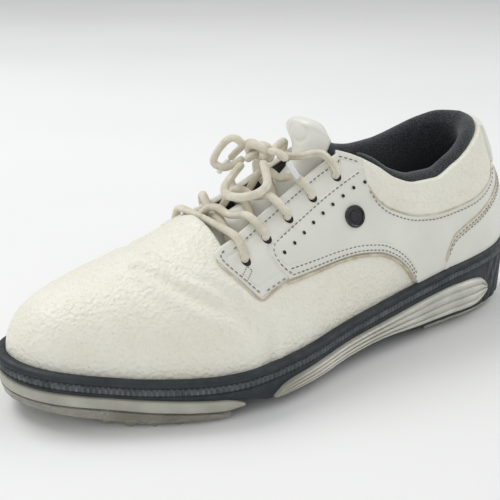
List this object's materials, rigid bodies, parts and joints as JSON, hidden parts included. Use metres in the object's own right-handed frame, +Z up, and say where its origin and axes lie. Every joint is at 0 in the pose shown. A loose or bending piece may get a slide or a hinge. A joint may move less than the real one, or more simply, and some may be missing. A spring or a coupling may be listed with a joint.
{
  "type": "golf shoe",
  "caption": "Laced leather golf shoe for the left foot, with a padded collar, a saddle overlay and a spikeless sole with small traction lugs.",
  "frame": {"origin": "on the ground, under the middle of the shoe's bounding box", "axes": "+Z up, -Y towards the toe, +X towards the outer side of the left foot"},
  "size_m": [0.1126, 0.298, 0.1162],
  "materials": {
    "pebbled_leather": "pebbled full-grain leather, satin",
    "smooth_leather": "smooth coated leather, satin",
    "lining_mesh": "knitted lining mesh, matt",
    "foam": "soft padding foam",
    "stiffener": "thermoformed stiffener sheet",
    "board": "pressed fibre board",
    "midsole_navy": "moulded foam midsole, matt",
    "frosted_tpu": "frosted translucent polyurethane",
    "clear_tpu": "clear polyurethane",
    "lace_textile": "braided polyester lace",
    "aglet_plastic": "moulded lace tip",
    "gunmetal": "dark plated metal"
  },
  "bodies": {
    "root": {"vamp": "pebbled_leather", "collar_panel_lateral": "pebbled_leather", "collar_panel_medial": "pebbled_leather", "facing_lateral": "smooth_leather", "facing_medial": "smooth_leather", "saddle_lateral": "smooth_leather", "saddle_medial": "smooth_leather", "heel_counter": "smooth_leather", "heel_tab": "smooth_leather", "tongue_shell": "smooth_leather", "piping_lateral": "smooth_leather", "piping_medial": "smooth_leather", "quarter_lining": "lining_mesh", "vamp_lining": "lining_mesh", "collar_lining": "lining_mesh", "collar_roll": "lining_mesh", "tongue_lining": "lining_mesh", "sockliner": "lining_mesh", "collar_foam": "foam", "tongue_foam": "foam", "toe_puff": "stiffener", "heel_stiffener": "stiffener", "insole_board": "board", "midsole": "midsole_navy", "forefoot_insert": "frosted_tpu", "wing_lateral": "frosted_tpu", "wing_medial": "frosted_tpu", "outsole_forefoot": "clear_tpu", "outsole_heel": "clear_tpu", "lace": "lace_textile", "lace_strand_lateral": "lace_textile", "lace_strand_medial": "lace_textile", "lace_knot": "lace_textile", "lace_loop_front": "lace_textile", "lace_loop_back": "lace_textile", "lace_tail_lateral": "lace_textile", "lace_tail_medial": "lace_textile", "aglet_lateral": "aglet_plastic", "aglet_medial": "aglet_plastic", "badge": "gunmetal"}
  },
  "joints": []
}
